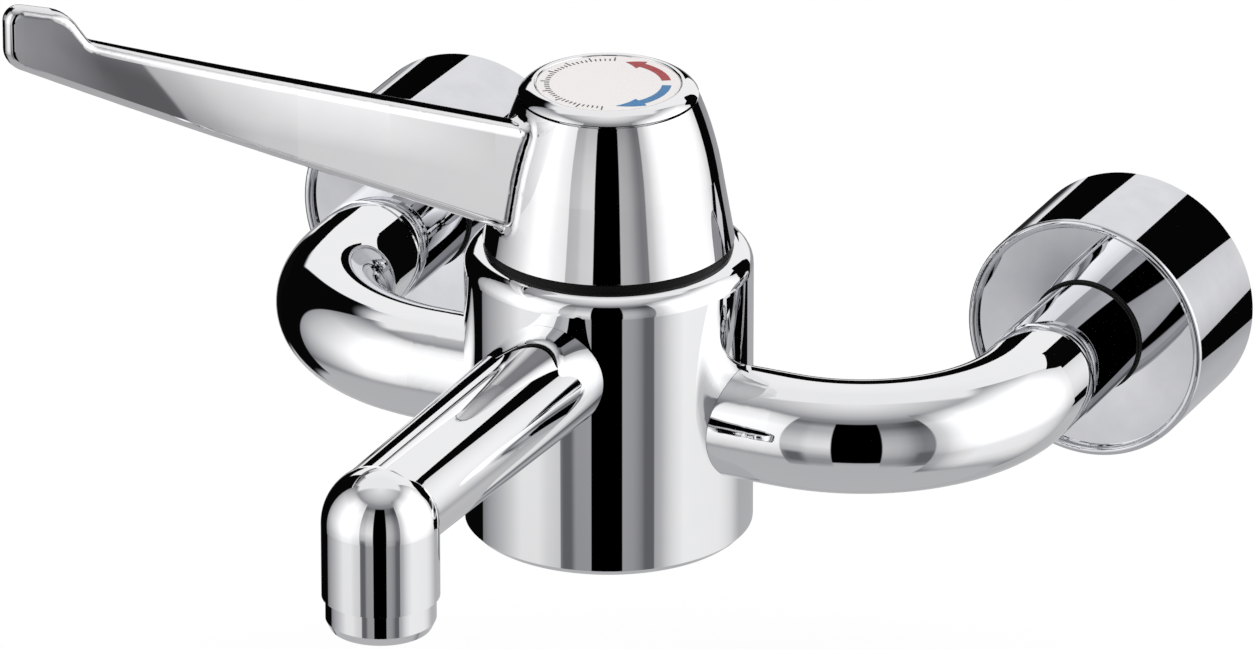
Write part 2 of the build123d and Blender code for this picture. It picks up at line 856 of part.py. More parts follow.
def shroud_ring(side):
    face = -shroud_depth + shroud_recess
    inner = sleeve_radius + fit_gap
    outer = shroud_hole_radius - fit_gap
    back = face + shroud_face
    ring = turned([
        (inner, face - shroud_ring_lip / 3), (outer, face - shroud_ring_lip / 3), (outer, back + fit_gap),
        (outer + shroud_ring_lip, back + fit_gap), (outer + shroud_ring_lip, back + shroud_ring_lip),
        (inner, back + shroud_ring_lip),
    ])
    return in_supply(ring, side)


# Strainer and non-return valve

def strainer(side):
    rim_radius = tail_bore - fit_gap
    top = -tail_face
    end = top - strainer_depth
    neck = rim_radius - 1.2
    cup = turned([
        (0, end), (strainer_end_radius, end), (neck, top - strainer_rim), (rim_radius, top - strainer_rim),
        (rim_radius, top), (neck - strainer_wall, top), (neck - strainer_wall, top - strainer_rim),
        (strainer_end_radius - strainer_wall, end + strainer_wall), (0, end + strainer_wall),
    ])
    for row in range(strainer_rows):
        height = end + strainer_depth * (row + 1) / (strainer_rows + 1.5)
        for index in range(strainer_hole_count):
            turn = 360 * (index + row / 2) / strainer_hole_count
            cup -= Pos(0, 0, height) * Rot(Z=turn) * Rot(Y=90) * rod(strainer_hole_radius, 0, rim_radius)
    return in_supply(cup, side)


def check_housing(side):
    outer = tail_bore - fit_gap
    housing = rod(outer, -check_front, -check_back)
    housing -= rod(outer - check_wall, -check_front + check_guide, -check_back - check_seat)
    housing -= rod(check_seat_radius, -check_back - check_seat, -check_back)
    housing -= rod(check_stem_radius + running_gap, -check_front, -check_front + check_guide)
    for place in PolarLocations(check_hole_circle, check_hole_count):
        housing -= place * rod(check_hole_radius, -check_front, -check_front + check_guide)
    return in_supply(housing, side)


def check_poppet(side):
    seat = -check_back - check_seat
    back = seat - check_head
    poppet = rod(check_head_radius, back, seat)
    poppet += rod(check_stem_radius, -check_front - check_stem_end, back)
    # The thick part of the stem meets the guide when the valve is fully open
    poppet += rod(check_boss_radius, -check_front + check_guide + check_travel + fit_gap, back)
    return in_supply(poppet, side)


def check_spring(side):
    back = -check_back - check_seat - check_head
    low = -check_front + check_guide + fit_gap
    spring = coil(check_spring_radius, check_spring_wire, low, back - fit_gap, check_spring_turns)
    return in_supply(spring, side)


# Every piece in its own file

single_pieces = [
    mixer_body, gap_ring, cartridge_housing, cartridge_seals, cartridge_bonnet, cartridge_nut, stop_ring,
    flow_drum, spindle, spindle_seal, nut_guide, temperature_nut, overtravel_plunger, overtravel_spring,
    wax_element, shuttle, return_spring, lever_handle, handle_adapter, handle_screw, cap_bezel, index_disc,
    spout, straightener_ring, straightener_insert, straightener_washer,
]
supply_pieces = [
    inlet_arm, inlet_sleeve, union_tail, union_nut, union_washer, shroud, shroud_ring, strainer,
    check_housing, check_poppet, check_spring,
]

os.makedirs("parts", exist_ok=True)
for piece in single_pieces:
    export_step(piece(), f"parts/{piece.__name__}.step")
for piece in supply_pieces:
    for supply, side in (("hot", -1), ("cold", 1)):
        export_step(piece(side), f"parts/{supply}_{piece.__name__}.step")
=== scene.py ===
# Looks of a wall-mounted lever mixer tap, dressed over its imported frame
import json
import math

import bpy
import numpy as np
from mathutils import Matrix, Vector


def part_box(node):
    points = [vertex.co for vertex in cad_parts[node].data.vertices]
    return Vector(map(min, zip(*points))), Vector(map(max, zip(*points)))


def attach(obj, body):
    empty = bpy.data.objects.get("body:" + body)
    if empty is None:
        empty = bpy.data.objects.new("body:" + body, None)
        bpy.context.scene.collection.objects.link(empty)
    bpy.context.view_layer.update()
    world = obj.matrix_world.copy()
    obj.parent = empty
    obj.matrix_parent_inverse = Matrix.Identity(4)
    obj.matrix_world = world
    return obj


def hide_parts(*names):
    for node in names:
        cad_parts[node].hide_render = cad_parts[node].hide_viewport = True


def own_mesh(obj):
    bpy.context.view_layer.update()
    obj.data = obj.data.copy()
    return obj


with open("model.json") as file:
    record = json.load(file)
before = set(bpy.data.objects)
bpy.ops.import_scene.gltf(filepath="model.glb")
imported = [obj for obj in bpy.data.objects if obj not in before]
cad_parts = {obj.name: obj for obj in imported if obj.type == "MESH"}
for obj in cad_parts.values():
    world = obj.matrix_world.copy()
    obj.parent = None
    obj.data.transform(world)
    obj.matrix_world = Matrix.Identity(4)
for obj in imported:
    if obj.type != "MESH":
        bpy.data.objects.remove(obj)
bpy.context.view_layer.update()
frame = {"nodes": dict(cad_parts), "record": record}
tapNodes = frame["nodes"]
bodyAxis = (0.0, -0.0941)  # the body's upright axis, metres
print("frame loaded:", len(tapNodes), "nodes")

# Camera
cameraView = {
    "target": (0.0039, -0.0940, 0.0164),
    "distance": 2.958,
    "azimuth": 24.87,  # degrees towards +X from straight ahead
    "elevation": 23.55,
    "lens": 424.9,
    "sensor": 36.0,
}


def placeCamera(view):
    turn, lift = math.radians(view["azimuth"]), math.radians(view["elevation"])
    back = Vector((math.sin(turn) * math.cos(lift), -math.cos(turn) * math.cos(lift), math.sin(lift)))
    lens = bpy.data.cameras.new("tapCamera")
    lens.lens, lens.sensor_width = view["lens"], view["sensor"]
    lens.clip_start, lens.clip_end = 0.1, 50.0
    camera = bpy.data.objects.new("tapCamera", lens)
    camera.location = Vector(view["target"]) + back * view["distance"]
    camera.rotation_mode = "QUATERNION"
    camera.rotation_quaternion = (-back).to_track_quat("-Z", "Y")
    bpy.context.scene.collection.objects.link(camera)
    bpy.context.scene.camera = camera


placeCamera(cameraView)
print("camera placed")


# Surfaces from numpy grids
def surfaceFromGrid(name, points, closedAcross=False):
    # points[..., i, j] are grids of places; each cell (i, j) becomes one four-sided face
    index = np.arange(points[..., 0].size).reshape(points.shape[:-1])
    if closedAcross:
        index = np.concatenate([index, index[..., :1]], axis=-1)
    corners = [index[..., :-1, :-1], index[..., :-1, 1:], index[..., 1:, 1:], index[..., 1:, :-1]]
    faces = np.stack(corners, axis=-1).reshape(-1, 4).tolist()
    mesh = bpy.data.meshes.new(name)
    mesh.from_pydata(points.reshape(-1, 3).tolist(), [], faces)
    mesh.update()
    piece = bpy.data.objects.new(name, mesh)
    bpy.context.scene.collection.objects.link(piece)
    return piece


def shadeSmooth(piece):
    piece.data.polygons.foreach_set("use_smooth", np.ones(len(piece.data.polygons), bool))
    piece.data.update()


# Node helpers
def put(tree, kind, inputs=None, **fields):
    made = tree.nodes.new(kind)
    for field, value in fields.items():
        setattr(made, field, value)
    for key, value in (inputs or {}).items():
        if isinstance(value, bpy.types.NodeSocket):
            tree.links.new(value, made.inputs[key])
        else:
            made.inputs[key].default_value = value
    return made


def reckon(tree, operation, *values, clamp=False):
    inputs = {place: value for place, value in enumerate(values)}
    return put(tree, "ShaderNodeMath", inputs, operation=operation, use_clamp=clamp).outputs[0]


def between(tree, value, low, high, first=0.0, last=1.0):
    # the value's share of the way from low to high, held at the ends, as first to last
    inputs = {"Value": value, "From Min": low, "From Max": high, "To Min": first, "To Max": last}
    return put(tree, "ShaderNodeMapRange", inputs, clamp=True).outputs["Result"]


def mixed(tree, share, first, last):
    made = put(tree, "ShaderNodeMix", data_type="RGBA")
    for socket, value in ((made.inputs[0], share), (made.inputs[6], first), (made.inputs[7], last)):
        if isinstance(value, bpy.types.NodeSocket):
            tree.links.new(value, socket)
        else:
            socket.default_value = value if isinstance(value, float) else (*value, 1.0)
    return made.outputs[2]


def hypotenuse(tree, first, second):
    # root of the sum of both squares
    squares = reckon(tree, "MULTIPLY", first, first), reckon(tree, "MULTIPLY", second, second)
    return reckon(tree, "SQRT", reckon(tree, "ADD", *squares))


noiseSpan = (0.3, 0.7)  # nearly all of a noise lies between these


def cloudy(tree, place, scale, detail=2.0, roughness=0.5, distortion=0.0):
    inputs = {"Vector": place, "Scale": scale, "Detail": detail, "Roughness": roughness,
              "Distortion": distortion}
    return put(tree, "ShaderNodeTexNoise", inputs).outputs[0]


def raised(tree, height, distance, normal=None):
    inputs = {"Height": height, "Distance": distance, "Strength": 1.0}
    if normal is not None:
        inputs["Normal"] = normal
    return put(tree, "ShaderNodeBump", inputs).outputs["Normal"]


def emptyFinish(name):
    finish = bpy.data.materials.new(name)
    finish.use_nodes = True
    finish.node_tree.nodes.clear()
    return finish, finish.node_tree


def startFinish(name):
    finish, tree = emptyFinish(name)
    shader = put(tree, "ShaderNodeBsdfPrincipled")
    put(tree, "ShaderNodeOutputMaterial", {"Surface": shader.outputs[0]})
    place = put(tree, "ShaderNodeTexCoord").outputs["Object"]
    return finish, tree, shader, place


def aim(tree, shader, **sockets):
    names = {"colour": "Base Color", "roughness": "Roughness", "normal": "Normal"}
    for key, value in sockets.items():
        tree.links.new(value, shader.inputs[names[key]])


# Chrome
edgeSpread = 0.08  # how far two normals disagree where an edge counts in full


def edgeShare(tree, radius):
    # how far the rounded normal leans from the flat one, which is 0 on faces and 1 on sharp edges
    rounded = put(tree, "ShaderNodeBevel", {"Radius": radius}, samples=4).outputs[0]
    flat = put(tree, "ShaderNodeNewGeometry").outputs["Normal"]
    agree = put(tree, "ShaderNodeVectorMath", {0: rounded, 1: flat}, operation="DOT_PRODUCT").outputs["Value"]
    return rounded, between(tree, agree, 1.0, 1.0 - edgeSpread)


bladeSwell = {  # metres and degrees
    "bearing": 51.5,  # degrees from the left towards the room, as the lever stands with the water off
    "base": 0.0351,  # height of the dome's foot
    "root": (0.0214, 0.0287), "hook": (0.1124, 0.0622),  # two points of the blade's top edge
    "crown": 0.011, "lean": 7.5,  # the face leans back by so many degrees over the crown's depth
    "fade": (0.027, 0.05), "tip": 0.104, "tipTurn": 3.1, "tipSkew": 1.1, "tipSoft": 0.014,
}


def swell(tree, place, look):
    # height lost by the blade's face: the square of the way into the crown, and a slow turn at the tip
    turn = math.radians(180 + look["bearing"])
    split = put(tree, "ShaderNodeSeparateXYZ", {"Vector": place}).outputs
    ahead = reckon(tree, "SUBTRACT", split["Y"], bodyAxis[1])
    out = reckon(tree, "ADD", reckon(tree, "MULTIPLY", split["X"], math.cos(turn)),
                 reckon(tree, "MULTIPLY", ahead, math.sin(turn)))
    (rootPlace, rootTop), (hookPlace, hookTop) = look["root"], look["hook"]
    slope = (hookTop - rootTop) / (hookPlace - rootPlace)
    edgeAtAxis = look["base"] + rootTop - slope * rootPlace
    edge = reckon(tree, "ADD", reckon(tree, "MULTIPLY", out, slope), edgeAtAxis)
    below = reckon(tree, "MULTIPLY", reckon(tree, "SUBTRACT", edge, split["Z"]), math.cos(math.atan(slope)))
    inCrown = reckon(tree, "MAXIMUM", reckon(tree, "SUBTRACT", look["crown"], below), 0.0)
    bend = math.tan(math.radians(look["lean"])) / (2 * look["crown"])
    crown = reckon(tree, "MULTIPLY", reckon(tree, "MULTIPLY", inCrown, inCrown), bend)
    crown = reckon(tree, "MULTIPLY", crown, between(tree, out, *look["fade"]))
    start = reckon(tree, "SUBTRACT", look["tip"], reckon(tree, "MULTIPLY", below, look["tipSkew"]))
    pastStart = reckon(tree, "SMOOTH_MAX", reckon(tree, "SUBTRACT", out, start), 0.0, look["tipSoft"])
    tip = reckon(tree, "MULTIPLY", pastStart, math.tan(math.radians(look["tipTurn"])))
    return reckon(tree, "MULTIPLY", reckon(tree, "ADD", crown, tip), -1.0)


coverDish = {"axis": (0.075, 0.0), "reach": 0.016, "depth": 0.0012, "hole": 0.012}


def dished(tree, place, look):
    # both covers' faces sink towards their holes: height = -depth * e to the -(way out from the hole / reach)
    split = put(tree, "ShaderNodeSeparateXYZ", {"Vector": place}).outputs
    across = reckon(tree, "SUBTRACT", reckon(tree, "ABSOLUTE", split["X"]), look["axis"][0])
    upwards = reckon(tree, "SUBTRACT", split["Z"], look["axis"][1])
    out = hypotenuse(tree, across, upwards)
    way = reckon(tree, "DIVIDE", reckon(tree, "SUBTRACT", look["hole"], out), look["reach"])
    return reckon(tree, "MULTIPLY", reckon(tree, "EXPONENT", way), -look["depth"])


def plating(name, look):
    # bright plate over a polished casting: long soft ripples, a fine haze, rubbed edges, faint spots
    finish, tree, shader, place = startFinish(name)
    edge = edgeShare(tree, look["edge"])[1]
    ripple = cloudy(tree, place, look["rippleScale"], 1.0, 0.4)
    haze = cloudy(tree, place, look["hazeScale"], 3.0, 0.6)
    wipe = put(tree, "ShaderNodeMapping", {"Vector": place, "Scale": look["wipe"]}).outputs[0]
    streak = cloudy(tree, wipe, look["streakScale"], 4.0, 0.7, 0.4)
    cells = put(tree, "ShaderNodeTexVoronoi", {"Vector": place, "Scale": look["spotScale"]})
    spot = between(tree, cells.outputs["Distance"], look["spotSize"], 0.0)
    dull = reckon(tree, "MULTIPLY", between(tree, streak, *look["streakSpan"]), look["haze"])
    dull = reckon(tree, "ADD", dull, reckon(tree, "MULTIPLY", edge, look["edgeDull"]))
    dull = reckon(tree, "ADD", dull, reckon(tree, "MULTIPLY", spot, look["spotDull"]))
    dull = reckon(tree, "ADD", dull, look["roughness"], clamp=True)
    tint = mixed(tree, between(tree, haze, *noiseSpan), look["colour"], look["cooler"])
    tint = mixed(tree, reckon(tree, "MULTIPLY", edge, look["rub"]), tint, look["rubbed"])
    bump = raised(tree, ripple, look["ripple"])
    bump = raised(tree, haze, look["orangePeel"], bump)
    if "dish" in look:
        bump = raised(tree, dished(tree, place, look["dish"]), 1.0, bump)
    if "swell" in look:
        bump = raised(tree, swell(tree, place, look["swell"]), 1.0, bump)
    aim(tree, shader, colour=tint, roughness=dull, normal=bump)
    shader.inputs["Metallic"].default_value = 1.0
    return finish


brightPlate = {
    "colour": (0.90, 0.90, 0.905), "cooler": (0.885, 0.89, 0.90), "rubbed": (0.93, 0.925, 0.91),
    "rub": 0.35, "roughness": 0.012, "haze": 0.008, "edge": 0.00025, "edgeDull": 0.10,
    "rippleScale": 22.0, "ripple": 0.000012, "hazeScale": 160.0, "orangePeel": 0.0000004,
    "wipe": (1.0, 1.0, 6.0), "streakScale": 60.0, "streakSpan": (0.52, 0.75),
    "spotScale": 90.0, "spotSize": 0.025, "spotDull": 0.012,
}
chromeBody = plating("chromeBody", brightPlate)
chromeLever = plating("chromeLever", {
    **brightPlate, "colour": (0.825, 0.82, 0.825), "cooler": (0.80, 0.80, 0.81), "wipe": (3.0, 3.0, 1.0),
    "swell": bladeSwell})
chromeBezel = plating("chromeBezel", {
    **brightPlate, "edge": 0.00012, "ripple": 0.000004, "rippleScale": 60.0})
chromeArm = plating("chromeArm", {
    **brightPlate, "ripple": 0.000018, "rippleScale": 26.0, "wipe": (6.0, 1.0, 1.0)})
chromeSleeve = plating("chromeSleeve", {
    **brightPlate, "edge": 0.00015, "ripple": 0.000004, "wipe": (1.0, 6.0, 1.0)})
chromeShroud = plating("chromeShroud", {
    **brightPlate, "colour": (0.76, 0.762, 0.785), "cooler": (0.70, 0.705, 0.735), "ripple": 0.000025,
    "wipe": (1.0, 6.0, 1.0), "dish": coverDish})
chromeSpout = plating("chromeSpout", {
    **brightPlate, "ripple": 0.000014, "wipe": (1.0, 5.0, 1.0)})
print("chrome finishes made")


# The other finishes
def moulding(name, look):
    # moulded plastic or rubber: fine grain, slow colour drift, duller and paler edges
    finish, tree, shader, place = startFinish(name)
    rounded, edge = edgeShare(tree, look["edge"])
    drift = cloudy(tree, place, look["driftScale"], 2.0)
    grain = cloudy(tree, place, look["grainScale"], 3.0, 0.6)
    tint = mixed(tree, between(tree, drift, *noiseSpan), look["colour"], look["drift"])
    tint = mixed(tree, reckon(tree, "MULTIPLY", edge, look["rub"]), tint, look["edgeColour"])
    dull = between(tree, grain, *noiseSpan, look["roughness"], look["roughness"] + look["unevenness"])
    bump = raised(tree, grain, look["grain"], rounded)
    aim(tree, shader, colour=tint, roughness=dull, normal=bump)
    shader.inputs["IOR"].default_value = look["index"]
    shader.inputs["Specular IOR Level"].default_value = look["specular"]
    return finish


def machined(name, look):
    # turned metal: fine rings round the Y or Z axis, tarnish in clouds, bright edges
    finish, tree, shader, place = startFinish(name)
    rounded, edge = edgeShare(tree, look["edge"])
    split = put(tree, "ShaderNodeSeparateXYZ", {"Vector": place}).outputs
    rings = reckon(tree, "SINE", reckon(tree, "MULTIPLY", split[look["axis"]], 2 * math.pi / look["pitch"]))
    cloud = cloudy(tree, place, look["cloudScale"], 4.0, 0.6)
    fine = cloudy(tree, place, look["grainScale"], 2.0)
    tint = mixed(tree, between(tree, cloud, *look["tarnishSpan"]), look["colour"], look["tarnish"])
    tint = mixed(tree, reckon(tree, "MULTIPLY", edge, look["rub"]), tint, look["bright"])
    dull = between(tree, cloud, *look["dullSpan"], look["roughness"], look["roughness"] + look["unevenness"])
    bump = raised(tree, rings, look["rings"], rounded)
    bump = raised(tree, fine, look["grain"], bump)
    aim(tree, shader, colour=tint, roughness=dull, normal=bump)
    shader.inputs["Metallic"].default_value = 1.0
    return finish


plasticLook = {"edge": 0.0003, "rub": 0.5, "driftScale": 40.0, "grainScale": 1400.0, "grain": 0.000004,
               "roughness": 0.38, "unevenness": 0.12, "index": 1.5, "specular": 0.5}
blackPlastic = moulding("blackPlastic", {
    **plasticLook, "colour": (0.003, 0.003, 0.0035), "drift": (0.005, 0.005, 0.0055),
    "edgeColour": (0.012, 0.012, 0.012), "roughness": 0.3, "specular": 0.12})
blackRubber = moulding("blackRubber", {
    **plasticLook, "colour": (0.006, 0.006, 0.0065), "drift": (0.009, 0.009, 0.009),
    "edgeColour": (0.025, 0.025, 0.024), "roughness": 0.55, "grain": 0.000008, "specular": 0.2})
whitePlastic = moulding("whitePlastic", {
    **plasticLook, "colour": (0.78, 0.78, 0.76), "drift": (0.74, 0.735, 0.71),
    "edgeColour": (0.84, 0.84, 0.82)})
redPlastic = moulding("redPlastic", {
    **plasticLook, "colour": (0.50, 0.028, 0.022), "drift": (0.44, 0.024, 0.02),
    "edgeColour": (0.62, 0.07, 0.05)})
ceramicGrey = moulding("ceramicGrey", {
    **plasticLook, "colour": (0.30, 0.31, 0.32), "drift": (0.26, 0.27, 0.28),
    "edgeColour": (0.42, 0.42, 0.42), "roughness": 0.22, "grain": 0.000002})
indexWhite = moulding("indexWhite", {
    **plasticLook, "colour": (0.765, 0.735, 0.725), "drift": (0.75, 0.722, 0.712),
    "edgeColour": (0.88, 0.87, 0.86), "roughness": 0.2, "unevenness": 0.05, "grain": 0.000001})

turnedLook = {"edge": 0.0002, "rub": 0.6, "axis": "Y", "pitch": 0.00022, "rings": 0.000006,
              "grainScale": 900.0, "grain": 0.000002, "cloudScale": 70.0, "tarnishSpan": (0.42, 0.68),
              "dullSpan": (0.35, 0.7), "roughness": 0.2, "unevenness": 0.2}
rawBrass = machined("rawBrass", {
    **turnedLook, "colour": (0.80, 0.58, 0.27), "tarnish": (0.58, 0.38, 0.16), "bright": (0.92, 0.72, 0.40)})
rawCopper = machined("rawCopper", {
    **turnedLook, "axis": "Z", "colour": (0.83, 0.44, 0.28), "tarnish": (0.52, 0.24, 0.14),
    "bright": (0.93, 0.58, 0.42)})
springSteel = machined("springSteel", {
    **turnedLook, "axis": "Z", "colour": (0.60, 0.60, 0.61), "tarnish": (0.46, 0.455, 0.45),
    "bright": (0.75, 0.75, 0.76)})
print("other finishes made")

finishOfSlot = {
    "chrome_body": chromeBody, "chrome_lever": chromeLever, "chrome_bezel": chromeBezel,
    "chrome_arm": chromeArm, "chrome_sleeve": chromeSleeve, "chrome_shroud": chromeShroud,
    "chrome_spout": chromeSpout, "black_plastic": blackPlastic, "black_rubber": blackRubber,
    "brass": rawBrass, "white_plastic": whitePlastic, "red_plastic": redPlastic,
    "index_white": indexWhite, "spring_steel": springSteel, "ceramic_grey": ceramicGrey,
    "copper": rawCopper,
}
slotOfNode = {row["node"]: row["material_slot"] for row in frame["record"]["subparts"]}
for nodeName, node in tapNodes.items():
    for place in node.material_slots:
        place.material = finishOfSlot[slotOfNode[nodeName]]
print("finishes given to", len(tapNodes), "nodes")


# Check valve springs
springWire = {"radius": 0.0026, "turns": 5.0, "rings": 200, "sides": 12, "endShare": 0.002, "travel": 0.0025}


def windSpring(nodeName, wire):
    # a helix along Y: place = axis + radius * (cos turn, 0, sin turn) + even rise, with a round section
    # across it, whose radius shrinks almost to nothing at both ends
    low, high = (np.array(corner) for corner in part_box(nodeName))
    middle = (low + high) / 2
    thick = (high[0] - low[0]) / 2 - wire["radius"]
    share = np.concatenate([[0], np.linspace(0, 1, wire["rings"]), [1]])[:, None]
    closing = [wire["endShare"]]
    size = thick * np.concatenate([closing, np.ones(wire["rings"]), closing])[:, None]
    turn = 2 * math.pi * wire["turns"] * share
    climb = (high[1] - low[1] - 2 * thick) / (2 * math.pi * wire["turns"])
    outward = np.stack([np.cos(turn), 0 * turn, np.sin(turn)], axis=-1)
    forward = np.stack([-wire["radius"] * np.sin(turn), climb + 0 * turn,
                        wire["radius"] * np.cos(turn)], axis=-1)
    forward = forward / np.linalg.norm(forward, axis=-1, keepdims=True)
    sideways = np.cross(forward, outward)
    middles = np.stack([middle[0] + wire["radius"] * np.cos(turn), low[1] + thick + climb * turn,
                        middle[2] + wire["radius"] * np.sin(turn)], axis=-1)
    around = np.linspace(0, 2 * math.pi, wire["sides"], endpoint=False)[None, :]
    section = np.cos(around)[..., None] * outward + np.sin(around)[..., None] * sideways
    piece = surfaceFromGrid(nodeName + "Wire", middles + size[..., None] * section, closedAcross=True)
    shadeSmooth(piece)
    piece.data.materials.append(springSteel)
    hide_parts(nodeName)
    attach(piece, "fixed")
    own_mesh(piece)


windSpring("hot_check_spring", springWire)
windSpring("cold_check_spring", springWire)
print("springs wound")


# Prints on the index disc
inkLook = {"coatScale": 900.0, "coat": 0.000003, "roughness": (0.28, 0.42), "driftScale": 160.0,
           "fade": 0.88, "lift": 0.01}


def markInk(name, colour, look):
    # screen ink: flat colour with a slow drift, and a fine uneven coat
    finish, tree, shader, place = startFinish(name)
    coat = cloudy(tree, place, look["coatScale"], 3.0, 0.6)
    drift = cloudy(tree, place, look["driftScale"], 2.0)
    worn = tuple(look["fade"] * part + look["lift"] for part in colour)
    tint = mixed(tree, between(tree, drift, *noiseSpan), colour, worn)
    bump = raised(tree, coat, look["coat"])
    dull = between(tree, coat, *noiseSpan, *look["roughness"])
    aim(tree, shader, colour=tint, roughness=dull, normal=bump)
    return finish


redInk = markInk("redInk", (0.33, 0.006, 0.010), inkLook)
blueInk = markInk("blueInk", (0.014, 0.155, 0.36), inkLook)
darkInk = markInk("darkInk", (0.018, 0.018, 0.03), inkLook)

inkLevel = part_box("index_disc")[1].z  # the disc's upper face
inkArrows = [  # angles in degrees from +X: tail, neck of the head, tip
    {"name": "hotterArrow", "ink": redInk, "tail": 33.0, "neck": 80.0, "tip": 97.5},
    {"name": "colderArrow", "ink": blueInk, "tail": 20.0, "neck": -31.0, "tip": -57.5},
]
arrowShape = {"radius": 0.0116, "half": 0.00092, "wing": 0.00198, "point": 0.00002, "columns": 9, "rows": 90,
              "thick": 0.00006}


def printArrow(arrow, shape):
    # a bent arrow: half width is constant to the neck, then falls straight from the wing to the point
    share = np.linspace(0, 1, shape["rows"])
    angle = np.radians(arrow["tail"] + (arrow["tip"] - arrow["tail"]) * share)[:, None]
    neck = (arrow["neck"] - arrow["tail"]) / (arrow["tip"] - arrow["tail"])
    head = np.clip((share - neck) / (1 - neck), 0, 1)
    half = np.where(share < neck, shape["half"], shape["wing"] * (1 - head) + shape["point"])
    radius = shape["radius"] + half[:, None] * np.linspace(-1, 1, shape["columns"])[None, :]
    points = np.stack([bodyAxis[0] + radius * np.cos(angle), bodyAxis[1] + radius * np.sin(angle),
                       inkLevel + shape["thick"] + 0 * radius], axis=-1)
    if arrow["tip"] < arrow["tail"]:
        points = points[::-1]  # so that its face looks up
    inkLayer(arrow["name"], points, arrow["ink"], shape["thick"])


def inkLayer(name, points, ink, thick):
    # a thin coat whose top stands proud of the disc, and whose back is sunk in it
    piece = surfaceFromGrid(name, points)
    piece.data.materials.append(ink)
    coat = piece.modifiers.new("coat", "SOLIDIFY")
    coat.thickness, coat.offset = thick * 1.5, -1.0  # half as deep again as it stands proud
    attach(piece, "lever")


scaleTicks = {"count": 41, "first": 109.0, "last": 289.0, "inner": 0.0118, "short": 0.0010, "long": 0.0018,
              "half": 0.00013, "every": 5, "thick": 0.00006}  # every fifth stroke is long


def printTicks(ticks):
    # radial strokes, one grid each: place = radius outwards from the inner end, turned by the stroke's angle
    number = np.arange(ticks["count"])
    angle = np.radians(np.linspace(ticks["first"], ticks["last"], ticks["count"]))[:, None, None]
    reach = np.where(number % ticks["every"] == 0, ticks["long"], ticks["short"])[:, None, None]
    radius = ticks["inner"] + reach * np.linspace(0, 1, 6)[None, :, None]
    side = ticks["half"] * np.linspace(1, -1, 3)[None, None, :]
    points = np.stack([bodyAxis[0] + radius * np.cos(angle) - side * np.sin(angle),
                       bodyAxis[1] + radius * np.sin(angle) + side * np.cos(angle),
                       inkLevel + ticks["thick"] + 0 * radius * side], axis=-1)
    inkLayer("scaleTicks", points, darkInk, ticks["thick"])


for arrow in inkArrows:
    printArrow(arrow, arrowShape)
printTicks(scaleTicks)
print("prints laid on the disc")


# Studio
studioTent = {
    "centre": (0.0, -0.094, 0.02),
    "radius": 2.4,
    "rows": 361,
    "columns": 1081,
    "gain": 1.1,  # the plate gives back about nine tenths of what it meets
    "tintSpan": (0.15, 0.75), "dimTint": (0.93, 0.935, 1.0), "brightTint": (0.995, 0.993, 1.0),
    "climb": [(-90, 0.46), (-60, 0.47), (-40, 0.42), (-30, 0.36), (46, 0.19), (50, 0.235), (54, 0.28),
              (58, 0.38), (62, 0.45), (66, 0.52), (70, 0.57), (78, 0.67), (86, 0.76), (90, 0.78)],
}
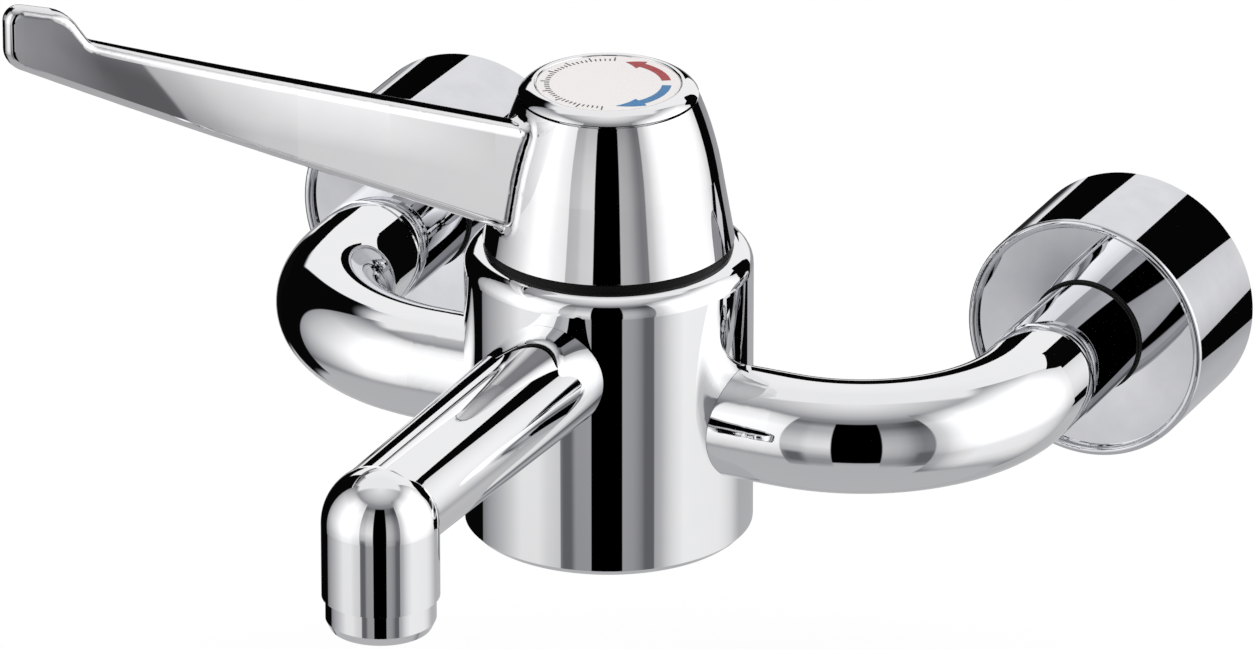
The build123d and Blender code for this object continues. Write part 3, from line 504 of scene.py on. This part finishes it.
# each panel: left and right edge in degrees from the camera's bearing, low and high edge above level,
# softness of both, then glow against climb and the share of it against bearing
studioPanels = {
    "nearFloor": {"across": (-400, 400), "up": (-95, -36), "soft": (1, 10),
                  "climb": [(-90, 0.45), (-36, 0.44)], "bearing": [(0, 1.0)]},
    "backUpper": {"across": (100, 260), "up": (50, 90), "soft": (14, 8),
                  "climb": [(50, 0.82)], "bearing": [(0, 1.0)]},
    "backMiddle": {"across": (126.5, 210), "up": (-8, 56), "soft": (1.5, 14),
                   "climb": [(-8, 0.86)], "bearing": [(0, 1.0)]},
    "backFoot": {"across": (126.5, 206), "up": (-60, -7), "soft": (2, 2),
                 "climb": [(-50, 0.42), (-30, 0.5), (-20, 0.34), (-7, 0.30)], "bearing": [(0, 1.0)]},
    "frontLeft": {"across": (-38.5, -13.5), "up": (-42, 47), "soft": (1, 4),
                  "climb": [(-42, 0.40), (-34, 0.26), (-26, 0.27), (-18, 0.385), (-14, 0.485), (-6, 0.61),
                            (0, 0.71), (10, 0.67), (18, 0.58), (30, 0.42), (38, 0.38), (43, 0.24),
                            (47, 0.17)],
                  "bearing": [(-38, 0.80), (-29, 0.86), (-25, 1.02), (-14, 1.06)]},
    "frontRight": {"across": (10.8, 36.5), "up": (-42, 47), "soft": (1, 4),
                   "climb": [(-42, 0.38), (-34, 0.25), (-26, 0.27), (-18, 0.36), (-10, 0.41), (0, 0.435),
                             (10, 0.41), (18, 0.38), (30, 0.26), (38, 0.14), (46, 0.15)],
                   "bearing": [(12, 1.12), (19, 1.05), (23, 0.9), (27, 0.66), (31, 0.5), (36, 0.53)]},
    "frontFoot": {"across": (-37.5, -28), "up": (-33, -15), "soft": (5, 8),
                  "climb": [(-24, 0.12)], "bearing": [(0, 1.0)]},
    "frontFootRight": {"across": (28, 36.5), "up": (-33, -15), "soft": (4, 8),
                       "climb": [(-24, 0.12)], "bearing": [(0, 1.0)]},
    "leftSoftbox": {"across": (-120, -38.5), "up": (-32, 53), "soft": (1, 7),
                    "climb": [(-32, 0.40), (-26, 0.72), (-22, 0.84), (-14, 1.0), (-6, 1.14), (0, 1.2),
                              (30, 1.2), (36, 1.05), (42, 0.94), (46, 0.82), (50, 0.66), (54, 0.40)],
                    "bearing": [(-120, 0.27), (-110, 0.44), (-102, 0.54), (-94, 0.65), (-86, 0.78),
                                (-74, 1.0), (-58, 1.0), (-50, 0.86), (-38, 0.76)]},
    "rightSoftbox": {"across": (36.5, 126.5), "up": (-56, 58), "soft": (1.2, 6),
                     "climb": [(-56, 0.34), (-50, 0.57), (-46, 0.70), (-38, 0.82), (-24, 0.84), (-18, 1.05),
                               (-10, 1.2), (0, 1.3), (38, 1.3), (42, 1.1), (46, 0.95), (50, 0.8), (58, 0.45)],
                     "bearing": [(36, 0.42), (42, 0.52), (46, 0.66), (50, 0.77), (54, 0.86), (62, 1.0),
                                 (98, 0.97), (106, 0.90), (114, 0.80), (122, 0.62), (127, 0.50)]},
    "backLeft": {"across": (-153, -120), "up": (-40, 46), "soft": (1.2, 4),
                 "climb": [(0, 0.002)], "bearing": [(0, 1.0)]},
    "wallLow": {"across": (-166, -150), "up": (-30, 16), "soft": (1.5, 3),
                "climb": [(0, 0.003)], "bearing": [(0, 1.0)]},
    "behindLow": {"across": (174, 186), "up": (-30, -9), "soft": (2, 4),
                  "climb": [(0, 0.02)], "bearing": [(0, 1.0)]},
    "blackCard": {"across": (-13.6, 10.8), "up": (-32, 47), "soft": (0.5, 2.0),
                  "climb": [(0, 0.0)], "bearing": [(0, 1.0)]},
}


def along(value, pairs):
    # straight lines through the pairs, level beyond both ends
    return np.interp(value, [pair[0] for pair in pairs], [pair[1] for pair in pairs])


def window(value, low, high, soft):
    # smooth step up over low, smooth step down over high, each as wide as soft
    rise = np.clip((value - low) / soft + 0.5, 0, 1)
    fall = np.clip((high - value) / soft + 0.5, 0, 1)
    return (rise * rise * (3 - 2 * rise)) * (fall * fall * (3 - 2 * fall))


def tentGlow(bearing, climb, tent, panels):
    # glow by climb alone, then each panel mixed over it inside its window of bearing and climb
    glow = along(climb, tent["climb"])
    for panel in panels.values():
        left, right = panel["across"]
        share = window(bearing, left, right, panel["soft"][0])
        share = np.maximum(share, window(bearing + 360, left, right, panel["soft"][0]))
        share = share * window(climb, *panel["up"], panel["soft"][1])
        glow = glow * (1 - share) + along(climb, panel["climb"]) * along(bearing, panel["bearing"]) * share
    return glow


def hideButMirror(piece):
    # only rays that the plate mirrors meet it
    piece.visible_camera = piece.visible_diffuse = piece.visible_shadow = piece.visible_transmission = False


def raiseTent(tent, panels):
    # a ball round the tap: place = centre + radius * (cos climb sin turn, -cos climb cos turn, sin climb)
    climb = np.linspace(-90, 90, tent["rows"])[:, None] * np.ones((1, tent["columns"]))
    bearing = np.linspace(-180, 180, tent["columns"])[None, :] * np.ones((tent["rows"], 1))
    lift, turn = np.radians(climb), np.radians(bearing + cameraView["azimuth"])
    flat = np.cos(lift)
    ball = np.stack([flat * np.sin(turn), -flat * np.cos(turn), np.sin(lift)], axis=-1)
    piece = surfaceFromGrid("studioTent", np.array(tent["centre"]) + tent["radius"] * ball)
    glow = tentGlow(bearing, climb, tent, panels) * tent["gain"]
    layer = piece.data.attributes.new("glow", "FLOAT", "POINT")
    layer.data.foreach_set("value", glow.astype(np.float32).ravel())
    paint, tree = emptyFinish("tentCloth")
    value = put(tree, "ShaderNodeAttribute", attribute_name="glow").outputs["Fac"]
    tint = mixed(tree, between(tree, value, *tent["tintSpan"]), tent["dimTint"], tent["brightTint"])
    light = put(tree, "ShaderNodeEmission", {"Color": tint, "Strength": value})
    put(tree, "ShaderNodeOutputMaterial", {"Surface": light.outputs[0]})
    paint.cycles.emission_sampling = "NONE"
    piece.data.materials.append(paint)
    hideButMirror(piece)


raiseTent(studioTent, studioPanels)

# black boards behind the tap: left and right edge, low and high edge, distance behind the wall, all in metres
blackCards = [
    {"name": "boardRight", "across": (0.145, 0.472), "up": (-0.36, 0.505), "behind": 0.69, "bow": 0.02},
    {"name": "boardLeft", "across": (-0.95, -0.068), "up": (0.008, 0.172), "behind": 0.33, "bow": 0.0},
]
feltGlow = 0.002


def standCard(card):
    # a slightly bowed sheet: place = (x, behind - bow * (share of the width from the middle) squared, z)
    x = np.linspace(*card["across"], 17)[None, :]
    z = np.linspace(*card["up"], 9)[:, None]
    middle = (x - x.mean()) / (np.ptp(x) / 2)
    points = np.stack([x + 0 * z, card["behind"] - card["bow"] * middle ** 2 + 0 * z, z + 0 * x], axis=-1)
    piece = surfaceFromGrid(card["name"], points)
    felt, tree = emptyFinish(card["name"] + "Felt")
    glow = put(tree, "ShaderNodeEmission", {"Color": (1.0, 1.0, 1.0, 1.0), "Strength": feltGlow})
    put(tree, "ShaderNodeOutputMaterial", {"Surface": glow.outputs[0]})
    felt.cycles.emission_sampling = "NONE"
    piece.data.materials.append(felt)
    hideButMirror(piece)


for card in blackCards:
    standCard(card)

floorSheet = {"level": -0.16, "radius": 1.9, "colour": (0.93, 0.93, 0.935), "inner": 0.10, "outer": 0.26,
              "rings": 24, "spokes": 96, "fleckScale": 300.0, "fleck": 0.985, "roughness": 0.9}


def layFloor(sheet):
    # a flat round sheet: place = body's axis + (reach cos turn, reach sin turn), at the level; it goes from
    # paper to plain white between inner and outer
    reach = np.linspace(0.0005, sheet["radius"], sheet["rings"])[:, None]
    turn = np.linspace(0, 2 * math.pi, sheet["spokes"], endpoint=False)[None, :]
    points = np.stack([reach * np.cos(turn) + bodyAxis[0], reach * np.sin(turn) + bodyAxis[1],
                       sheet["level"] + 0 * reach * turn], axis=-1)
    piece = surfaceFromGrid("floorSheet", points, closedAcross=True)
    paper, tree, shader, place = startFinish("floorPaper")
    fleck = cloudy(tree, place, sheet["fleckScale"], 3.0)
    darker = tuple(sheet["fleck"] * part for part in sheet["colour"])
    shade = mixed(tree, between(tree, fleck, *noiseSpan), sheet["colour"], darker)
    aim(tree, shader, colour=shade)
    shader.inputs["Roughness"].default_value = sheet["roughness"]
    split = put(tree, "ShaderNodeSeparateXYZ", {"Vector": place}).outputs
    fromTap = hypotenuse(tree, split["X"], reckon(tree, "SUBTRACT", split["Y"], bodyAxis[1]))
    rays = put(tree, "ShaderNodeLightPath").outputs
    seen = reckon(tree, "MAXIMUM", rays["Is Camera Ray"], rays["Is Glossy Ray"])
    share = reckon(tree, "MULTIPLY", seen, between(tree, fromTap, sheet["inner"], sheet["outer"]))
    white = put(tree, "ShaderNodeEmission", {"Color": (1, 1, 1, 1), "Strength": 1.0})
    both = put(tree, "ShaderNodeMixShader", {0: share, 1: shader.outputs[0], 2: white.outputs[0]})
    output = [n for n in tree.nodes if n.type == "OUTPUT_MATERIAL"][0]
    tree.links.new(both.outputs[0], output.inputs["Surface"])
    paper.cycles.emission_sampling = "NONE"
    piece.data.materials.append(paper)
    piece.visible_glossy = False  # the tent stands for it there


layFloor(floorSheet)

studioLamps = [
    {"name": "keyLamp", "place": (-0.55, -0.85, 0.95), "size": 0.9, "power": 8.5},
    {"name": "fillLamp", "place": (0.95, -0.55, 0.55), "size": 0.9, "power": 4.5},
    {"name": "backLamp", "place": (0.1, 0.75, 0.9), "size": 0.9, "power": 3.5},
]


def hangLamps(lamps):
    for lamp in lamps:
        light = bpy.data.lights.new(lamp["name"], "AREA")
        light.shape, light.size, light.energy = "SQUARE", lamp["size"], lamp["power"]
        hung = bpy.data.objects.new(lamp["name"], light)
        hung.location = lamp["place"]
        hung.rotation_mode = "QUATERNION"
        hung.rotation_quaternion = (Vector(studioTent["centre"]) - hung.location).to_track_quat("-Z", "Y")
        hung.visible_glossy = False  # their glow in the plate comes from the tent
        bpy.context.scene.collection.objects.link(hung)


hangLamps(studioLamps)

studioWorld = {"ambient": 0.55, "seen": 1.0}


def paintWorld(sky):
    world = bpy.data.worlds.new("studioWorld")
    bpy.context.scene.world = world
    world.use_nodes = True
    tree = world.node_tree
    tree.nodes.clear()
    rays = put(tree, "ShaderNodeLightPath").outputs
    seen = reckon(tree, "MAXIMUM", rays["Is Camera Ray"], rays["Is Glossy Ray"])
    seen = reckon(tree, "MAXIMUM", seen, rays["Is Transmission Ray"])
    strength = between(tree, seen, 0.0, 1.0, sky["ambient"], sky["seen"])
    light = put(tree, "ShaderNodeBackground", {"Color": (1, 1, 1, 1), "Strength": strength})
    put(tree, "ShaderNodeOutputWorld", {"Surface": light.outputs[0]})


paintWorld(studioWorld)
bpy.context.scene.view_settings.view_transform = "Standard"
print("studio built")
